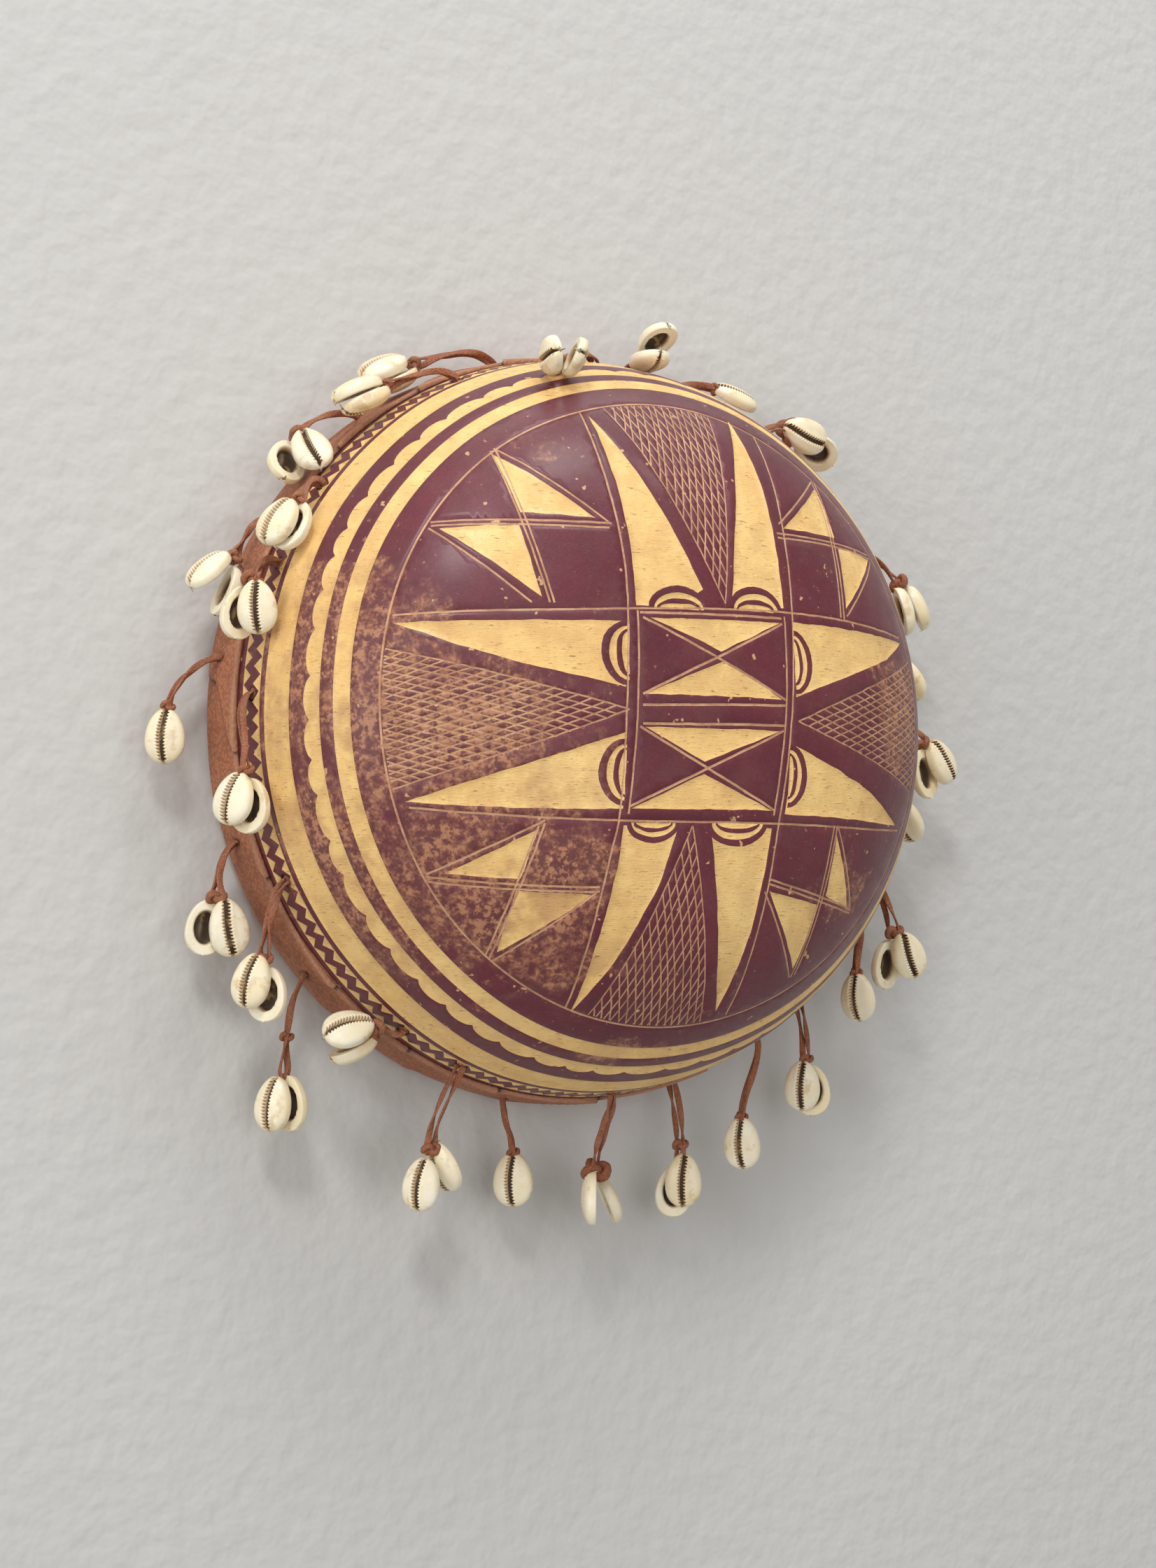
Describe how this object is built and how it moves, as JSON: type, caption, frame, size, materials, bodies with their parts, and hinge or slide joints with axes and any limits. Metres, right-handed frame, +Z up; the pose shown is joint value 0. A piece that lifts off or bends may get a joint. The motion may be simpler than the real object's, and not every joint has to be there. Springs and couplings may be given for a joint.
{
  "type": "tambourine",
  "caption": "Tambourine made of half a gourd with a leather skin over its mouth, a carved dome, and cowrie shells on leather thongs around the side that rattle when it is shaken.",
  "frame": {"origin": "middle of the flat skin, on the side that lies against the wall", "axes": "+Y out of the skin into the wall, so the dome points along -Y; +Z up; +X to the right for somebody facing the dome"},
  "size_m": [0.3643, 0.1219, 0.3632],
  "materials": {
    "gourd": "satin",
    "skin_leather": "matte",
    "thong_leather": "matte",
    "cowrie": "gloss"
  },
  "bodies": {
    "drum": {"gourd_shell": "gourd", "drum_skin": "skin_leather", "stopper_knots": "thong_leather"},
    "pendant_01": {"thong_01": "thong_leather", "cowries_01": "cowrie"},
    "pendant_02": {"thong_02": "thong_leather", "cowries_02": "cowrie"},
    "pendant_03": {"thong_03": "thong_leather", "cowries_03": "cowrie"},
    "pendant_04": {"thong_04": "thong_leather", "cowries_04": "cowrie"},
    "pendant_05": {"thong_05": "thong_leather", "cowries_05": "cowrie"},
    "pendant_06": {"thong_06": "thong_leather", "cowries_06": "cowrie"},
    "pendant_07": {"thong_07": "thong_leather", "cowries_07": "cowrie"},
    "pendant_08": {"thong_08": "thong_leather", "cowries_08": "cowrie"},
    "pendant_09": {"thong_09": "thong_leather", "cowries_09": "cowrie"},
    "pendant_10": {"thong_10": "thong_leather", "cowries_10": "cowrie"},
    "pendant_11": {"thong_11": "thong_leather", "cowries_11": "cowrie"},
    "pendant_12": {"thong_12": "thong_leather", "cowries_12": "cowrie"},
    "pendant_13": {"thong_13": "thong_leather", "cowries_13": "cowrie"},
    "pendant_14": {"thong_14": "thong_leather", "cowries_14": "cowrie"},
    "pendant_15": {"thong_15": "thong_leather", "cowries_15": "cowrie"},
    "pendant_16": {"thong_16": "thong_leather", "cowries_16": "cowrie"},
    "pendant_17": {"thong_17": "thong_leather", "cowries_17": "cowrie"},
    "pendant_18": {"thong_18": "thong_leather", "cowries_18": "cowrie"},
    "pendant_19": {"thong_19": "thong_leather", "cowries_19": "cowrie"},
    "pendant_20": {"thong_20": "thong_leather", "cowries_20": "cowrie"},
    "pendant_21": {"thong_21": "thong_leather", "cowries_21": "cowrie"},
    "pendant_22": {"thong_22": "thong_leather", "cowries_22": "cowrie"},
    "pendant_23": {"thong_23": "thong_leather", "cowries_23": "cowrie"},
    "pendant_24": {"thong_24": "thong_leather", "cowries_24": "cowrie"},
    "pendant_25": {"thong_25": "thong_leather", "cowries_25": "cowrie"},
    "pendant_26": {"thong_26": "thong_leather", "cowries_26": "cowrie"},
    "pendant_27": {"thong_27": "thong_leather", "cowries_27": "cowrie"},
    "pendant_28": {"thong_28": "thong_leather", "cowries_28": "cowrie"}
  },
  "joints": [
    {"name": "pendant_01_swing", "type": "hinge", "parent": "drum", "child": "pendant_01", "pos_m": [-0.15009, -0.013, 0.02109], "axis": [0, 1, 0], "range_deg": [0, 40]},
    {"name": "pendant_02_swing", "type": "hinge", "parent": "drum", "child": "pendant_02", "pos_m": [-0.13126, -0.013, 0.07578], "axis": [0, 1, 0], "range_deg": [0, 40]},
    {"name": "pendant_03_swing", "type": "hinge", "parent": "drum", "child": "pendant_03", "pos_m": [-0.13691, -0.037, 0.05531], "axis": [0, 1, 0], "range_deg": [0, 20]},
    {"name": "pendant_04_swing", "type": "hinge", "parent": "drum", "child": "pendant_04", "pos_m": [-0.11946, -0.037, 0.08679], "axis": [0, 1, 0], "range_deg": [0, 40]},
    {"name": "pendant_05_swing", "type": "hinge", "parent": "drum", "child": "pendant_05", "pos_m": [-0.09331, -0.013, 0.11944], "axis": [0, 1, 0], "range_deg": [0, 40]},
    {"name": "pendant_06_swing", "type": "hinge", "parent": "drum", "child": "pendant_06", "pos_m": [-0.0624, -0.037, 0.13383], "axis": [0, 1, 0], "range_deg": [0, 40]},
    {"name": "pendant_07_swing", "type": "hinge", "parent": "drum", "child": "pendant_07", "pos_m": [-0.03409, -0.013, 0.14768], "axis": [0, 1, 0], "range_deg": [0, 40]},
    {"name": "pendant_08_swing", "type": "hinge", "parent": "drum", "child": "pendant_08", "pos_m": [0, -0.037, 0.14766], "axis": [0, 1, 0], "range_deg": [0, 30]},
    {"name": "pendant_09_swing", "type": "hinge", "parent": "drum", "child": "pendant_09", "pos_m": [0.02632, -0.013, 0.14926], "axis": [0, 1, 0], "range_deg": [-15, 15]},
    {"name": "pendant_10_swing", "type": "hinge", "parent": "drum", "child": "pendant_10", "pos_m": [0.04684, -0.013, 0.14415], "axis": [0, 1, 0], "range_deg": [-40, 0]},
    {"name": "pendant_11_swing", "type": "hinge", "parent": "drum", "child": "pendant_11", "pos_m": [0.08042, -0.037, 0.12384], "axis": [0, 1, 0], "range_deg": [-20, 0]},
    {"name": "pendant_12_swing", "type": "hinge", "parent": "drum", "child": "pendant_12", "pos_m": [0.12416, -0.013, 0.08693], "axis": [0, 1, 0], "range_deg": [-40, 0]},
    {"name": "pendant_13_swing", "type": "hinge", "parent": "drum", "child": "pendant_13", "pos_m": [0.13691, -0.037, 0.05531], "axis": [0, 1, 0], "range_deg": [-15, 0]},
    {"name": "pendant_14_swing", "type": "hinge", "parent": "drum", "child": "pendant_14", "pos_m": [0.15074, -0.013, 0.01584], "axis": [0, 1, 0], "range_deg": [-40, 0]},
    {"name": "pendant_15_swing", "type": "hinge", "parent": "drum", "child": "pendant_15", "pos_m": [0.1473, -0.037, -0.0103], "axis": [0, 1, 0], "range_deg": [-12, 5]},
    {"name": "pendant_16_swing", "type": "hinge", "parent": "drum", "child": "pendant_16", "pos_m": [0.14331, -0.013, -0.04935], "axis": [0, 1, 0], "range_deg": [-35, 5]},
    {"name": "pendant_17_swing", "type": "hinge", "parent": "drum", "child": "pendant_17", "pos_m": [0.12657, -0.037, -0.07605], "axis": [0, 1, 0], "range_deg": [-5, 20]},
    {"name": "pendant_18_swing", "type": "hinge", "parent": "drum", "child": "pendant_18", "pos_m": [0.10903, -0.013, -0.10529], "axis": [0, 1, 0], "range_deg": [-25, 25]},
    {"name": "pendant_19_swing", "type": "hinge", "parent": "drum", "child": "pendant_19", "pos_m": [0.07605, -0.037, -0.12657], "axis": [0, 1, 0], "range_deg": [-25, 15]},
    {"name": "pendant_20_swing", "type": "hinge", "parent": "drum", "child": "pendant_20", "pos_m": [0.04935, -0.013, -0.14331], "axis": [0, 1, 0], "range_deg": [-15, 25]},
    {"name": "pendant_21_swing", "type": "hinge", "parent": "drum", "child": "pendant_21", "pos_m": [0.00773, -0.037, -0.14746], "axis": [0, 1, 0], "range_deg": [-20, 20]},
    {"name": "pendant_22_swing", "type": "hinge", "parent": "drum", "child": "pendant_22", "pos_m": [-0.02892, -0.013, -0.14878], "axis": [0, 1, 0], "range_deg": [-20, 20]},
    {"name": "pendant_23_swing", "type": "hinge", "parent": "drum", "child": "pendant_23", "pos_m": [-0.06006, -0.037, -0.13489], "axis": [0, 1, 0], "range_deg": [-20, 20]},
    {"name": "pendant_24_swing", "type": "hinge", "parent": "drum", "child": "pendant_24", "pos_m": [-0.08469, -0.037, -0.12096], "axis": [0, 1, 0], "range_deg": [-25, 5]},
    {"name": "pendant_25_swing", "type": "hinge", "parent": "drum", "child": "pendant_25", "pos_m": [-0.11439, -0.013, -0.09944], "axis": [0, 1, 0], "range_deg": [-20, 20]},
    {"name": "pendant_26_swing", "type": "hinge", "parent": "drum", "child": "pendant_26", "pos_m": [-0.13272, -0.037, -0.06473], "axis": [0, 1, 0], "range_deg": [-20, 15]},
    {"name": "pendant_27_swing", "type": "hinge", "parent": "drum", "child": "pendant_27", "pos_m": [-0.14331, -0.013, -0.04935], "axis": [0, 1, 0], "range_deg": [-10, 35]},
    {"name": "pendant_28_swing", "type": "hinge", "parent": "drum", "child": "pendant_28", "pos_m": [-0.14757, -0.037, 0.00515], "axis": [0, 1, 0], "range_deg": [0, 35]}
  ]
}
